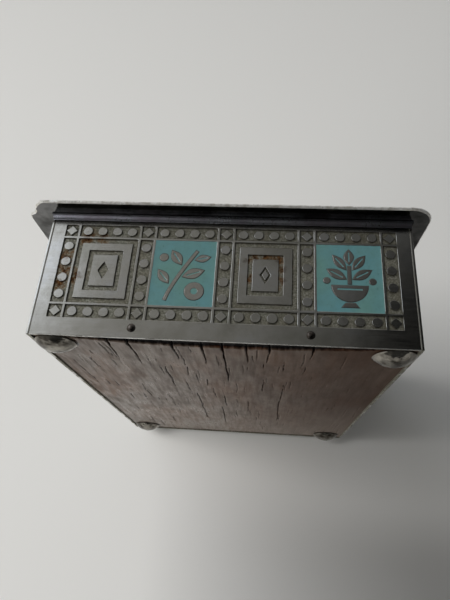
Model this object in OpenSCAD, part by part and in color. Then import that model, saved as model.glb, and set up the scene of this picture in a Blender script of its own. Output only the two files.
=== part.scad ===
// Wooden box with a hinged lid, clad in etched metal plates with enamel panels.
//
// The box stands on four domed feet. X runs across its short ends and Y along
// its long sides. The hinge is on the -X side and the lid opens at the +X side.
// The origin is under the middle of the whole outline, on the surface that the
// box stands on. Inside the modules below, z = 0 is the lower edge of the wall
// plates and x = 0, y = 0 is the middle of the walls; placed() moves them all.

/* [Body] */
// Outside width over the plates, along X
body_w = 100; // [96:1:110]
// Outside length over the plates, along Y
body_l = 132; // [126:1:140]
// Height from the lower edge of the wall plates to the seam of the lid
wall_h = 34.8; // [34.8:0.1:42]
// Thickness of the wooden wall boards
board_t = 5.2; // [5:0.1:6]
// Thickness of the wooden bottom board
bottom_t = 4; // [3.5:0.5:5]
// How far the wood of the bottom lies above the lower edge of the wall plates
bottom_sink = 0.3; // [0.1:0.1:0.5]
// Gap that shrinkage has left behind the middle of the near plate
shrink_gap = 2.2; // [0.4:0.1:2.5]

/* [Plates] */
// Thickness of the wall plates
plate_t = 0.8; // [0.8:0.1:1.2]
// Depth of the etched ground below the face of a plate
etch_d = 0.4; // [0.3:0.05:0.5]
// Thickness of the enamel in its etched cell
enamel_t = 0.32; // [0.2:0.02:0.4]
// Width of the narrow ornament cells
strip_w = 3.6; // [3:0.1:4]
// Width of the raised line between two cells
line_w = 0.7; // [0.5:0.1:0.9]
// Plain margin beside the ornament of a wall
side_margin = 4.45; // [4:0.05:6]
// Plain margin below the ornament of a wall
bottom_margin = 5; // [4.5:0.1:6]
// Plain margin above the ornament of a wall
top_margin = 1.7; // [1.5:0.1:2.5]
// Diameter of the raised discs
disc_d = 2.6; // [2:0.1:2.8]
// Panels across a short end and across the lid
panels_x = 4; // [3:1:5]
// Panels along a long side and along the lid
panels_y = 5; // [4:1:6]

/* [Lid] */
// Height of the metal skirt round the lid
skirt_h = 1.9; // [1.9:0.1:3]
// How far the top of the skirt leans out
skirt_flare = 0.5; // [0:0.1:0.6]
// Thickness of the lid plate
lid_plate_t = 1; // [0.9:0.1:1.4]
// Overhang of the lid plate at both ends
end_overhang = 5.7; // [4:0.1:6]
// Overhang of the lid plate on the hinge side
hinge_overhang = 8; // [6:0.1:8.5]
// Overhang of the lid plate on the opening side
front_overhang = 5.2; // [4:0.1:6]
// Radius of the corners of the lid plate
lid_corner_r = 6; // [4:0.5:8]
// Depth that the underside of the lid reaches into the box
plug_h = 3; // [2:0.5:4]
// Clearance round the part of the lid that reaches into the box
plug_gap = 0.5; // [0.4:0.1:1]
// Gap between the lid and the walls at the seam
seam = 0.1; // [0.1:0.05:0.2]

/* [Fittings] */
// Diameter of a foot
foot_d = 11.2; // [9:0.2:11.6]
// How much further in the far feet stand than the near ones, on the hinge side and on the front side
far_foot_inset = [1.2, 2.4]; // [0:0.1:4]
// Height of a foot below the wall plates
foot_drop = 2.4; // [2:0.1:3]
// Diameter of the round head of a plate pin
pin_head_d = 2.3; // [2:0.1:2.6]
// Length of each of the two hinges
hinge_l = 24; // [18:1:30]
// Radius of the hinge barrel
barrel_r = 1.2; // [1.1:0.05:1.3]
// Thickness of the hinge leaves
leaf_t = 0.7; // [0.6:0.05:0.8]

/* [Hidden] */
$fn = 48;
eps = 0.01;

// Colours
WOOD = "#86796c";
METAL = "#9ba0a3";
ENAMEL = "#5d9a9b";
PIN_METAL = "#3f3a36";
HINGE_METAL = "#8f7a4c";

// Body
half_w = body_w / 2;
half_l = body_l / 2;
core_w = body_w - 2 * plate_t;
core_l = body_l - 2 * plate_t;
inner_w = core_w - 2 * board_t;
inner_l = core_l - 2 * board_t;
floor_z = bottom_sink + bottom_t;
wall_top = wall_h - seam / 2;
lid_low = wall_h + seam / 2;
shrink_r = (pow(core_w / 2, 2) + pow(shrink_gap, 2)) / (2 * shrink_gap);

// Ornament of the walls
ground_z = plate_t - etch_d;
field_h = wall_h - bottom_margin - top_margin;
end_field = [body_w - 2 * side_margin, field_h];
side_field = [body_l - 2 * side_margin, field_h];
end_grid = [panels_x, 1];
side_grid = [panels_y, 1];
discs_per_cell = 4;
diamond_w = 3;
ring_inset = 1.4;
ring_w = 2.3;
groove_w = 1.3;
lozenge = [3, 5.1];

// Lid
skirt_top = wall_h + skirt_h;
lid_w = body_w + hinge_overhang + front_overhang;
lid_l = body_l + 2 * end_overhang;
lid_mid_x = (front_overhang - hinge_overhang) / 2;
lid_margin = [8, 7.5];
lid_field = [lid_w, lid_l] - 2 * lid_margin;
lid_grid = [panels_x, panels_y];
// Bites that wear has taken out of one corner, measured from that corner
worn_corner = [[-1, -1], [-1, 8], [0, 8], [0.4, 6.3], [1.9, 5.5], [2.8, 4.4],
               [3, 2.9], [4.2, 1.4], [5.6, 0.3], [6.5, 0], [6.5, -1]];

// Feet
foot_wear = 0.1;
full_dome_h = foot_drop + foot_wear;
dome_r = (pow(foot_d / 2, 2) + pow(full_dome_h, 2)) / (2 * full_dome_h);
foot_x = half_w - foot_d / 2;
foot_y = core_l / 2 - foot_d / 2 - 0.1;
foot_pad_r = foot_d / 2 - plate_t - 0.1;
function foot_place(sx, sy) =
    [sx * (foot_x - (sy < 0 ? 0 : far_foot_inset[sx < 0 ? 0 : 1])), sy * foot_y];
foot_nail_r = 0.9;
foot_nail_l = 3;

// Plate pins
pin_r = 0.5;
pin_l = 5;
pin_head_h = 0.6;
pin_z = 2.7;
end_pins = [-22.75, 22.75];
side_pins = [-38, 0, 38];
lid_pin_l = 2.4;
// Crossings of the lid's ornament grid that are pinned: column, row
lid_pin_cells = [[0, 0], [panels_x, 0], [0, panels_y], [panels_x, panels_y],
                 [2, 0], [2, panels_y], [0, 2], [panels_x, 2], [0, 3], [panels_x, 3]];

// Hinges
pivot_x = -half_w - barrel_r - 0.1;
hinge_pin_r = 0.5;
hinge_run = 0.05;
knuckle_gap = 0.15;
leaf_reach = 5;
leaf_y = half_l - 27;
knuckle_l = hinge_l / 3;
screw_x = -half_w + 2.9;
screw_dy = 7;
screw_r = 0.6;
screw_head_r = 1.1;
screw_head_h = 0.5;
body_screw_l = 5;
lid_screw_l = 1.6;

// The whole outline is centred on the origin and the feet stand on z = 0
module placed() {
    translate([-lid_mid_x, 0, foot_drop]) children();
}

// ---------- ornament, drawn flat with its lower left corner at the origin ----------

function pitch(field, grid) = [(field[0] - strip_w) / grid[0], (field[1] - strip_w) / grid[1]];
function panel_size(field, grid) = pitch(field, grid) - [strip_w + 2 * line_w, strip_w + 2 * line_w];
function cell_corner(field, grid, i, j) = [pitch(field, grid)[0] * i, pitch(field, grid)[1] * j];
function panel_corner(field, grid, i, j) =
    cell_corner(field, grid, i, j) + [strip_w + line_w, strip_w + line_w];
function has_enamel(i, j) = (i + j) % 2 == 1;

module at_each(columns, rows) {
    for (i = [0 : columns - 1], j = [0 : rows - 1]) {
        $i = i;
        $j = j;
        children();
    }
}

// Every sunk cell of the grid
module cells(field, grid) {
    size = panel_size(field, grid);
    at_each(grid[0] + 1, grid[1] + 1)
        translate(cell_corner(field, grid, $i, $j)) square(strip_w);
    at_each(grid[0], grid[1] + 1)
        translate(cell_corner(field, grid, $i, $j) + [strip_w + line_w, 0]) square([size[0], strip_w]);
    at_each(grid[0] + 1, grid[1])
        translate(cell_corner(field, grid, $i, $j) + [0, strip_w + line_w]) square([strip_w, size[1]]);
    at_each(grid[0], grid[1])
        translate(panel_corner(field, grid, $i, $j)) square(size);
}

module diamond(size) {
    polygon([[-size[0] / 2, 0], [0, -size[1] / 2], [size[0] / 2, 0], [0, size[1] / 2]]);
}

module disc_row(length) {
    for (k = [0 : discs_per_cell - 1])
        translate([(k + 0.5) * length / discs_per_cell, 0]) circle(d = disc_d);
}

// A raised ring, and inside it a raised block with a sunk lozenge
module nested_squares(size) {
    module inset(d) {
        translate([d, d]) square([size[0] - 2 * d, size[1] - 2 * d]);
    }
    difference() {
        inset(ring_inset);
        inset(ring_inset + ring_w);
    }
    difference() {
        inset(ring_inset + ring_w + groove_w);
        translate(size / 2) diamond(lozenge);
    }
}

// What stands up inside the sunk cells
module islands(field, grid) {
    size = panel_size(field, grid);
    middle = strip_w / 2;
    at_each(grid[0] + 1, grid[1] + 1)
        translate(cell_corner(field, grid, $i, $j) + [middle, middle]) diamond([diamond_w, diamond_w]);
    at_each(grid[0], grid[1] + 1)
        translate(cell_corner(field, grid, $i, $j) + [strip_w + line_w, middle]) disc_row(size[0]);
    at_each(grid[0] + 1, grid[1])
        translate(cell_corner(field, grid, $i, $j) + [middle, strip_w + line_w])
            rotate(90) disc_row(size[1]);
    at_each(grid[0], grid[1])
        if (!has_enamel($i, $j))
            translate(panel_corner(field, grid, $i, $j)) nested_squares(size);
}

module sunk_ground(field, grid) {
    difference() {
        cells(field, grid);
        islands(field, grid);
    }
}

module enamel_slabs(field, grid) {
    size = panel_size(field, grid);
    at_each(grid[0], grid[1])
        if (has_enamel($i, $j))
            translate(panel_corner(field, grid, $i, $j)) linear_extrude(enamel_t) square(size);
}

// ---------- walls ----------

// Lays a flat drawing, with x = 0 in the wall's middle, against one wall. Its z
// then points out of the box, and z = plate_t is the face of the wall.
module on_wall(turn, reach) {
    rotate([0, 0, turn]) translate([0, plate_t - reach, 0]) rotate([90, 0, 0]) children();
}
module on_near() { placed() on_wall(0, half_l) children(); }
module on_front() { placed() on_wall(90, half_w) children(); }
module on_far() { placed() on_wall(180, half_l) children(); }
module on_hinge() { placed() on_wall(270, half_w) children(); }

module at_field(field) {
    translate([-field[0] / 2, bottom_margin]) children();
}

module wall_plate(length, field, grid, pins) {
    difference() {
        union() {
            translate([-length / 2, 0]) linear_extrude(ground_z) square([length, wall_top]);
            translate([0, 0, ground_z]) linear_extrude(etch_d) difference() {
                translate([-length / 2, 0]) square([length, wall_top]);
                at_field(field) sunk_ground(field, grid);
            }
        }
        for (x = pins) translate([x, pin_z, -eps]) cylinder(r = pin_r, h = plate_t + 2 * eps);
    }
}

module wall_enamel(field, grid) {
    color(ENAMEL) translate([0, 0, ground_z]) at_field(field) enamel_slabs(field, grid);
}

module pin(length) {
    head_r = (pow(pin_head_d / 2, 2) + pow(pin_head_h, 2)) / (2 * pin_head_h);
    rotate_extrude() intersection() {
        translate([0, pin_head_h - head_r]) circle(head_r);
        square([pin_head_d / 2, pin_head_h]);
    }
    translate([0, 0, -length]) cylinder(r = pin_r, h = length + eps);
}

module wall_pins(pins) {
    color(PIN_METAL) for (x = pins) translate([x, pin_z, plate_t]) pin(pin_l);
}

module near_plate() { color(METAL) on_near() wall_plate(core_w, end_field, end_grid, end_pins); }
module far_plate() { color(METAL) on_far() wall_plate(core_w, end_field, end_grid, end_pins); }
module front_plate() { color(METAL) on_front() wall_plate(body_l, side_field, side_grid, side_pins); }
module hinge_plate() {
    color(METAL) difference() {
        on_hinge() wall_plate(body_l, side_field, side_grid, side_pins);
        placed() leaf_beds(wall_top - leaf_t, leaf_t + seam);
    }
}

module near_enamel() { on_near() wall_enamel(end_field, end_grid); }
module far_enamel() { on_far() wall_enamel(end_field, end_grid); }
module front_enamel() { on_front() wall_enamel(side_field, side_grid); }
module hinge_enamel() { on_hinge() wall_enamel(side_field, side_grid); }

module near_plate_pins() { on_near() wall_pins(end_pins); }
module far_plate_pins() { on_far() wall_pins(end_pins); }
module front_plate_pins() { on_front() wall_pins(side_pins); }
module hinge_plate_pins() { on_hinge() wall_pins(side_pins); }

// ---------- wooden body ----------

module block(low, high) {
    translate(low) cube(high - low);
}

module pin_holes(pins) {
    for (x = pins) translate([x, pin_z, plate_t - pin_l]) cylinder(r = pin_r, h = pin_l);
}

module at_feet() {
    for (sx = [-1, 1], sy = [-1, 1]) translate([each foot_place(sx, sy), bottom_sink]) children();
}

module bottom_board() {
    color(WOOD) difference() {
        placed() difference() {
            block([-core_w / 2, -core_l / 2, bottom_sink], [core_w / 2, core_l / 2, floor_z]);
            translate([0, shrink_gap - core_l / 2 - shrink_r, 0])
                cylinder(r = shrink_r, h = floor_z + 1, $fn = 720);
            at_feet() translate([0, 0, -eps]) cylinder(r = foot_nail_r, h = foot_nail_l + eps);
        }
        on_near() pin_holes(end_pins);
        on_far() pin_holes(end_pins);
        on_front() pin_holes(side_pins);
        on_hinge() pin_holes(side_pins);
    }
}

module end_board(side) {
    color(WOOD) placed() rotate([0, 0, side])
        block([-inner_w / 2, -core_l / 2, floor_z], [inner_w / 2, -inner_l / 2, wall_top]);
}
module near_board() { end_board(0); }
module far_board() { end_board(180); }

module front_board() {
    color(WOOD) placed() block([inner_w / 2, -core_l / 2, floor_z], [core_w / 2, core_l / 2, wall_top]);
}
module hinge_board() {
    color(WOOD) placed() difference() {
        block([-core_w / 2, -core_l / 2, floor_z], [-inner_w / 2, core_l / 2, wall_top]);
        leaf_beds(wall_top - leaf_t, leaf_t + seam);
        at_leaf_screws() translate([0, 0, wall_top - body_screw_l])
            cylinder(r = screw_r, h = body_screw_l);
    }
}

// ---------- feet ----------

// A dome that lies against the lower edge of the plates, with a small flat worn
// on its lowest point, a pad that reaches up to the wood, and its nail
module foot(sx, sy) {
    color(METAL) placed() translate([each foot_place(sx, sy), 0]) {
        rotate([180, 0, 0]) rotate_extrude() intersection() {
            translate([0, full_dome_h - dome_r]) circle(dome_r, $fn = 96);
            square([foot_d / 2, foot_drop]);
        }
        translate([0, 0, -eps]) cylinder(r = foot_pad_r, h = bottom_sink + eps);
        cylinder(r = foot_nail_r, h = bottom_sink + foot_nail_l);
    }
}
module foot_near_hinge() { foot(-1, -1); }
module foot_near_front() { foot(1, -1); }
module foot_far_hinge() { foot(-1, 1); }
module foot_far_front() { foot(1, 1); }

// ---------- hinges ----------

module at_hinge(side) {
    translate([0, side * leaf_y, 0]) children();
}
module at_leaf_screws() {
    for (side = [-1, 1], dy = [-screw_dy, screw_dy]) at_hinge(side) translate([screw_x, dy, 0]) children();
}

// Space for both hinges' leaves, from z = low up by h
module leaf_beds(low, h) {
    for (side = [-1, 1]) at_hinge(side)
        block([-half_w - 1, -hinge_l / 2, low], [leaf_reach - half_w, hinge_l / 2, low + h]);
}

module knuckle(y0, y1, r) {
    translate([pivot_x, y0, wall_h]) rotate([-90, 0, 0]) cylinder(r = r, h = y1 - y0);
}

module countersink(z, up) {
    translate([0, 0, z]) mirror([0, 0, up ? 0 : 1]) {
        cylinder(r1 = screw_head_r, r2 = screw_r, h = screw_head_h);
        translate([0, 0, screw_head_h - eps]) cylinder(r = screw_r, h = leaf_t);
    }
}

// The leaf on the box holds the two outer knuckles
module body_leaf(side) {
    inner = knuckle_l / 2 + knuckle_gap / 2;
    color(HINGE_METAL) placed() difference() {
        at_hinge(side) difference() {
            union() {
                block([pivot_x, -hinge_l / 2, wall_top - leaf_t], [leaf_reach - half_w, hinge_l / 2, wall_top]);
                knuckle(-hinge_l / 2, -inner, barrel_r);
                knuckle(inner, hinge_l / 2, barrel_r);
            }
            block([pivot_x - 2, -inner, wall_h - 3], [pivot_x + barrel_r + knuckle_gap, inner, wall_h + 3]);
            knuckle(-hinge_l, hinge_l, hinge_pin_r);
        }
        at_leaf_screws() countersink(wall_top, false);
    }
}

// The leaf on the lid holds the middle knuckle, which turns on the pin
module lid_leaf(side) {
    inner = knuckle_l / 2 - knuckle_gap / 2;
    outer_edge = pivot_x + barrel_r + knuckle_gap;
    color(HINGE_METAL) placed() difference() {
        at_hinge(side) difference() {
            union() {
                block([outer_edge, -hinge_l / 2, lid_low], [leaf_reach - half_w, hinge_l / 2, lid_low + leaf_t]);
                block([pivot_x, -inner, lid_low], [outer_edge + 1, inner, lid_low + leaf_t]);
                knuckle(-inner, inner, barrel_r);
            }
            knuckle(-hinge_l, hinge_l, hinge_pin_r + hinge_run);
        }
        at_leaf_screws() countersink(lid_low, true);
    }
}

module hinge_pin(side) {
    color(PIN_METAL) placed() at_hinge(side) knuckle(-hinge_l / 2, hinge_l / 2, hinge_pin_r);
}

module near_hinge_body_leaf() { body_leaf(-1); }
module near_hinge_lid_leaf() { lid_leaf(-1); }
module near_hinge_pin() { hinge_pin(-1); }
module far_hinge_body_leaf() { body_leaf(1); }
module far_hinge_lid_leaf() { lid_leaf(1); }
module far_hinge_pin() { hinge_pin(1); }

module screw(length) {
    cylinder(r1 = screw_head_r, r2 = screw_r, h = screw_head_h);
    translate([0, 0, screw_head_h - eps]) cylinder(r = screw_r, h = length - screw_head_h + eps);
}
module body_leaf_screws() {
    color(PIN_METAL) placed() at_leaf_screws() translate([0, 0, wall_top]) mirror([0, 0, 1]) screw(body_screw_l);
}
module lid_leaf_screws() {
    color(PIN_METAL) placed() at_leaf_screws() translate([0, 0, lid_low]) screw(lid_screw_l);
}

// ---------- lid ----------

// Outline of the lid plate, with its lower left corner at the origin
module lid_outline() {
    r = lid_corner_r;
    difference() {
        union() {
            square([lid_w - r, lid_l - r]);
            translate([r, 0]) square([lid_w - 2 * r, lid_l]);
            translate([0, r]) square([lid_w, lid_l - 2 * r]);
            for (p = [[lid_w - r, r], [r, lid_l - r], [lid_w - r, lid_l - r]]) translate(p) circle(r);
        }
        polygon(worn_corner);
    }
}

module on_lid() {
    placed() translate([lid_mid_x - lid_w / 2, -lid_l / 2, skirt_top]) children();
}

module at_lid_pins() {
    for (cell = lid_pin_cells)
        translate(lid_margin + cell_corner(lid_field, lid_grid, cell[0], cell[1])
                  + [strip_w / 2, strip_w / 2]) children();
}

module lid_plate() {
    color(METAL) on_lid() difference() {
        union() {
            linear_extrude(lid_plate_t - etch_d) lid_outline();
            translate([0, 0, lid_plate_t - etch_d]) linear_extrude(etch_d) difference() {
                lid_outline();
                translate(lid_margin) sunk_ground(lid_field, lid_grid);
            }
        }
        at_lid_pins() translate([0, 0, -eps]) cylinder(r = pin_r, h = lid_plate_t + 2 * eps);
    }
}

module lid_enamel() {
    color(ENAMEL) on_lid() translate([lid_margin[0], lid_margin[1], lid_plate_t - etch_d])
        enamel_slabs(lid_field, lid_grid);
}

module lid_plate_pins() {
    color(PIN_METAL) on_lid() at_lid_pins() translate([0, 0, lid_plate_t]) pin(lid_pin_l);
}

// Wooden lid: a thin edge that lies on the walls, and a thicker middle inside them
module lid_board() {
    plug = [inner_w / 2 - plug_gap, inner_l / 2 - plug_gap];
    color(WOOD) difference() {
        placed() difference() {
            union() {
                block([-core_w / 2, -core_l / 2, lid_low], [core_w / 2, core_l / 2, skirt_top]);
                block([-plug[0], -plug[1], wall_h - plug_h], [plug[0], plug[1], skirt_top]);
            }
            leaf_beds(lid_low - seam, leaf_t + seam);
            at_leaf_screws() translate([0, 0, lid_low]) cylinder(r = screw_r, h = lid_screw_l);
        }
        on_lid() at_lid_pins() translate([0, 0, lid_plate_t - lid_pin_l]) cylinder(r = pin_r, h = lid_pin_l);
    }
}

// One strip of the skirt, with mitred ends, drawn along the near edge
module skirt_strip(length, reach) {
    bite = 3;
    intersection() {
        rotate([90, 0, 90]) linear_extrude(length + 2, center = true)
            polygon([[-reach, lid_low], [-reach - skirt_flare, skirt_top],
                     [plate_t - reach, skirt_top], [plate_t - reach, lid_low]]);
        linear_extrude(skirt_top + 1)
            polygon([[bite - length / 2, bite - reach], [-1 - length / 2, -1 - reach],
                     [1 + length / 2, -1 - reach], [length / 2 - bite, bite - reach]]);
    }
}
module near_skirt() { color(METAL) placed() skirt_strip(body_w, half_l); }
module far_skirt() { color(METAL) placed() rotate(180) skirt_strip(body_w, half_l); }
module front_skirt() { color(METAL) placed() rotate(90) skirt_strip(body_l, half_w); }
module hinge_skirt() {
    color(METAL) placed() difference() {
        rotate(270) skirt_strip(body_l, half_w);
        leaf_beds(lid_low - seam, leaf_t + seam);
    }
}

bottom_board();
near_board();
far_board();
hinge_board();
front_board();
near_plate();
far_plate();
hinge_plate();
front_plate();
near_enamel();
far_enamel();
hinge_enamel();
front_enamel();
near_plate_pins();
far_plate_pins();
hinge_plate_pins();
front_plate_pins();
foot_near_hinge();
foot_near_front();
foot_far_hinge();
foot_far_front();
near_hinge_body_leaf();
near_hinge_lid_leaf();
near_hinge_pin();
far_hinge_body_leaf();
far_hinge_lid_leaf();
far_hinge_pin();
body_leaf_screws();
lid_leaf_screws();
lid_board();
lid_plate();
lid_enamel();
lid_plate_pins();
near_skirt();
far_skirt();
hinge_skirt();
front_skirt();
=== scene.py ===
"""Looks of the metal-clad wooden box with a hinged lid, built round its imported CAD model.

Drawings are in millimetres and are laid on the faces of the CAD nodes. Everything else is in metres.
"""

import math
import random

import bpy
import bmesh
import numpy as np
from mathutils import Matrix, Vector, noise


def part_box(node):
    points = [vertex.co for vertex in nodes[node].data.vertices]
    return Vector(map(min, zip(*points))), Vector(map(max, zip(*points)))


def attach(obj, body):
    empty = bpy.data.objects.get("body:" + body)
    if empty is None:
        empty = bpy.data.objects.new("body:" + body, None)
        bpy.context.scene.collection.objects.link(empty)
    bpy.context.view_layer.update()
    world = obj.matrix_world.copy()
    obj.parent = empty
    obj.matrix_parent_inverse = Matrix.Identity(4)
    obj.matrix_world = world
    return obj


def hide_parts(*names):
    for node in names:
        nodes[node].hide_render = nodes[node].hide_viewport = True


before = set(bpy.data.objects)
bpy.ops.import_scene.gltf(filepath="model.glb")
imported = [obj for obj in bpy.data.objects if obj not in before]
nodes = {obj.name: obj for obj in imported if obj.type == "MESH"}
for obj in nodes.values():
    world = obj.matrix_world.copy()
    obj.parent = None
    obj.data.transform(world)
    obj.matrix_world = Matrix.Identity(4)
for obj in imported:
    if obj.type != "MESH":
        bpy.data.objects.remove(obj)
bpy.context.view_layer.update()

MM = 0.001
noise.seed_set(7)    # noise_vector would otherwise differ from run to run

# Ornament, as in the CAD, in mm
ETCH = 0.4
ROOT = ETCH + 0.05    # how deep raised parts reach
STRIP = 3.6
LINE = 0.7
BOTTOM_MARGIN = 5.0
TOP_MARGIN = 1.7
SIDE_MARGIN = 4.45
PLATE = 0.8
DISC = 1.3
DIAMOND = 1.5
DISCS_PER_CELL = 4
RING_INSET, RING_WIDTH, GROOVE = 1.4, 2.3, 1.3
LOZENGE = (1.5, 2.55)
LID_MARGIN = (8.0, 7.5)
LID_CORNER = 6.0
LID_SHEET = 1.0
LID_SHEET_TOP, LID_LAND, LID_GROUND = 0.45, 0.5, 0.6    # its layers' depths below its top face
PIN_HEIGHT = 2.7
PIN_HEAD = (1.15, 0.6)
END_PINS = (-22.75, 22.75)
SIDE_PINS = (-38.0, 0.0, 38.0)
LID_PIN_CELLS = [(0, 0), (4, 0), (0, 5), (4, 5), (2, 0), (2, 5), (0, 2), (4, 2), (0, 3), (4, 3)]
HINGE_MIDDLE, HINGE_HALF, LEAF = 39.0, 12.0, 0.75    # the notches for the leaves
SEAM_WIDTH = 0.13
ENAMEL_SUNK = 0.08
HIDDEN_BEVEL = 0.01    # for edges that don't show
WELD = 0.002


# ---------- materials ----------

def add_node(tree, kind, inputs=None, **settings):
    """A new shader node. Each of its inputs is given a value or linked to a socket."""
    made = tree.nodes.new("ShaderNode" + kind)
    for key, value in settings.items():
        setattr(made, key, value)
    for key, value in (inputs or {}).items():
        if isinstance(value, bpy.types.NodeSocket):
            tree.links.new(value, made.inputs[key])
        else:
            made.inputs[key].default_value = value
    return made


class Shader:
    """A Principled material, with short ways to add and wire its nodes."""

    def __init__(self, name, **fixed):
        self.material = bpy.data.materials.new(name)
        self.material.use_nodes = True
        self.tree = self.material.node_tree
        self.surface = self.tree.nodes["Principled BSDF"]
        for key, value in fixed.items():
            self.surface.inputs[key.replace("_", " ")].default_value = value
        self.place = self.node("TexCoord").outputs["Object"]

    def node(self, kind, inputs=None, **settings):
        return add_node(self.tree, kind, inputs, **settings)

    def noise(self, size, detail=4.0, stretch=(1, 1, 1), shift=0.0, rough=0.55):
        """Noise whose blobs are about size mm across, times stretch along each axis."""
        scale = [1 / (size * MM * s) for s in stretch]
        spot = self.node("Mapping", {"Vector": self.place, "Scale": scale, "Location": (shift, shift, shift)})
        return self.node("TexNoise", {"Vector": spot.outputs[0], "Scale": 1.0, "Detail": detail,
                                      "Roughness": rough}).outputs[0]

    def remap(self, value, low, high, to_low=0.0, to_high=1.0):
        return self.node("MapRange", {"Value": value, "From Min": low, "From Max": high,
                                      "To Min": to_low, "To Max": to_high}).outputs[0]

    def math(self, operation, a, b):
        return self.node("Math", {0: a, 1: b}, operation=operation).outputs[0]

    def ramp(self, value, *stops):
        """A colour for each value: stops are (position, (r, g, b))."""
        made = self.node("ValToRGB", {"Fac": value})
        line = made.color_ramp.elements
        while len(line) < len(stops):
            line.new(0.5)
        for element, (position, colour) in zip(line, stops):
            element.position = position
            element.color = (*colour, 1)
        return made.outputs[0]

    def mix(self, factor, a, b):
        a, b = (value if isinstance(value, bpy.types.NodeSocket) else (*value, 1) for value in (a, b))
        return self.node("Mix", {0: factor, 6: a, 7: b}, data_type="RGBA").outputs[2]

    def corner_shade(self, distance):
        """Painted shade from an occlusion node: 1 on open surface and towards 0 in corners, looking out to
        distance mm.
        """
        made = self.node("AmbientOcclusion", {"Distance": distance * MM}, samples=6, only_local=True)
        return made.outputs["AO"]

    def attribute(self, name):
        return self.node("Attribute", attribute_name=name).outputs["Fac"]

    def patches(self, spots, grow=1.0):
        """1 inside any of the spots, (x, y, z, radius) in mm, with ragged edges."""
        ragged = self.remap(self.noise(1.1, 7, rough=0.8), 0.36, 0.64, -0.5, 0.5)
        total = None
        for x, y, z, radius in spots:
            away = self.node("VectorMath", {0: self.place, 1: (x * MM, y * MM, z * MM)},
                             operation="DISTANCE").outputs["Value"]
            near = self.remap(away, radius * grow * MM, 0, 0, 1.15)
            total = near if total is None else self.math("MAXIMUM", total, near)
        return self.remap(self.math("ADD", total, ragged), 0.45, 0.85)

    def bump(self, *layers):
        """Bump from (height, depth in mm, strength) layers."""
        normal = None
        for height, depth, strength in layers:
            inputs = {"Height": height, "Distance": depth * MM, "Strength": strength}
            if normal is not None:
                inputs["Normal"] = normal
            normal = self.node("Bump", inputs).outputs[0]
        self.join("Normal", normal)

    def join(self, name, socket):
        self.tree.links.new(socket, self.surface.inputs[name])


# Where rust has started, (x, y, z, radius) in mm: on the near wall, then on the others, and last on the lid
RUST_SPOTS = [(-37.5, -66, 31.5, 2.6), (-33, -66, 31.8, 1.8), (-42.6, -66, 25.4, 2.4),
              (-42.2, -66, 21.2, 2.2), (-42.8, -66, 17.4, 2.0), (-38.6, -66, 19.5, 2.6),
              (6.9, -66, 25.6, 1.5), (9.6, -66, 26.6, 1.8), (12.6, -66, 26.8, 1.8), (15.6, -66, 26.2, 1.9),
              (17.2, -66, 23.4, 1.9), (17.0, -66, 20.0, 1.8), (8.0, -66, 20.4, 1.3),
              (30, 66, 30.5, 3.4), (-20, 66, 24, 2.6), (49, 20, 30, 3.4), (49, -44, 21, 2.8),
              (-50, 38, 22, 3.0), (-30, 44, 39, 3.6), (22, -52, 39, 3.0), (39, 12, 39, 3.4)]


def rust(s):
    """Rust's colour, from dark brown to a dull orange."""
    return s.ramp(s.noise(0.5, 5, shift=11, rough=0.7), (0.42, (0.030, 0.012, 0.006)),
                  (0.52, (0.12, 0.052, 0.018)), (0.64, (0.27, 0.130, 0.044)))


def land_metal():
    """The polished lands of the plates: worn silvery metal with fine scratches."""
    s = Shader("land_metal", Metallic=1.0)
    stain = s.noise(9, 5, rough=0.6)
    fine = s.noise(0.8, 5, shift=7)
    tone = s.ramp(stain, (0.32, (0.43, 0.42, 0.38)), (0.52, (0.54, 0.53, 0.50)), (0.7, (0.58, 0.58, 0.58)))
    tone = s.mix(s.remap(fine, 0.6, 0.75, 0, 0.25), tone, (0.24, 0.21, 0.17))
    # Painted shade: darker in corners and beside raised parts, with some tarnish there
    tone = s.mix(s.remap(s.corner_shade(0.35), 0.9, 0.35, 0, 0.85), tone, (0.06, 0.05, 0.045))
    tone = s.mix(s.math("MULTIPLY", s.patches(RUST_SPOTS), 0.45), tone, rust(s))
    s.join("Base Color", tone)
    scratch = s.noise(0.28, 3, stretch=(30, 30, 1), shift=3)
    s.join("Roughness", s.math("ADD", s.remap(stain, 0.3, 0.75, 0.19, 0.11),
                               s.remap(scratch, 0.35, 0.75, 0, 0.08)))
    s.bump((s.noise(7, 2, shift=2), 0.08, 0.5), (scratch, 0.012, 0.5), (fine, 0.008, 0.5))
    return s.material


def ground_metal():
    """The etched ground: rough, grey-olive and dirty, with rust where it has started."""
    s = Shader("ground_metal", Metallic=0.8)
    grit = s.noise(0.45, 6, rough=0.7)
    cloud = s.noise(5, 4, shift=5)
    tone = s.ramp(grit, (0.32, (0.11, 0.108, 0.084)), (0.5, (0.27, 0.265, 0.214)), (0.68, (0.54, 0.53, 0.46)))
    tone = s.mix(s.remap(cloud, 0.4, 0.7, 0, 0.45), tone, (0.19, 0.165, 0.11))
    # Painted shade: darker in its corners against the lands
    tone = s.mix(s.remap(s.corner_shade(0.5), 0.95, 0.4, 0, 0.7), tone, (0.030, 0.027, 0.022))
    tone = s.mix(s.math("MULTIPLY", s.patches(RUST_SPOTS, 1.9), 0.7), tone, (0.30, 0.185, 0.085))
    tone = s.mix(s.patches(RUST_SPOTS, 1.35), tone, rust(s))
    s.join("Base Color", tone)
    s.join("Roughness", s.remap(grit, 0.3, 0.7, 0.68, 0.42))
    s.bump((grit, 0.12, 0.7))
    return s.material


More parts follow.
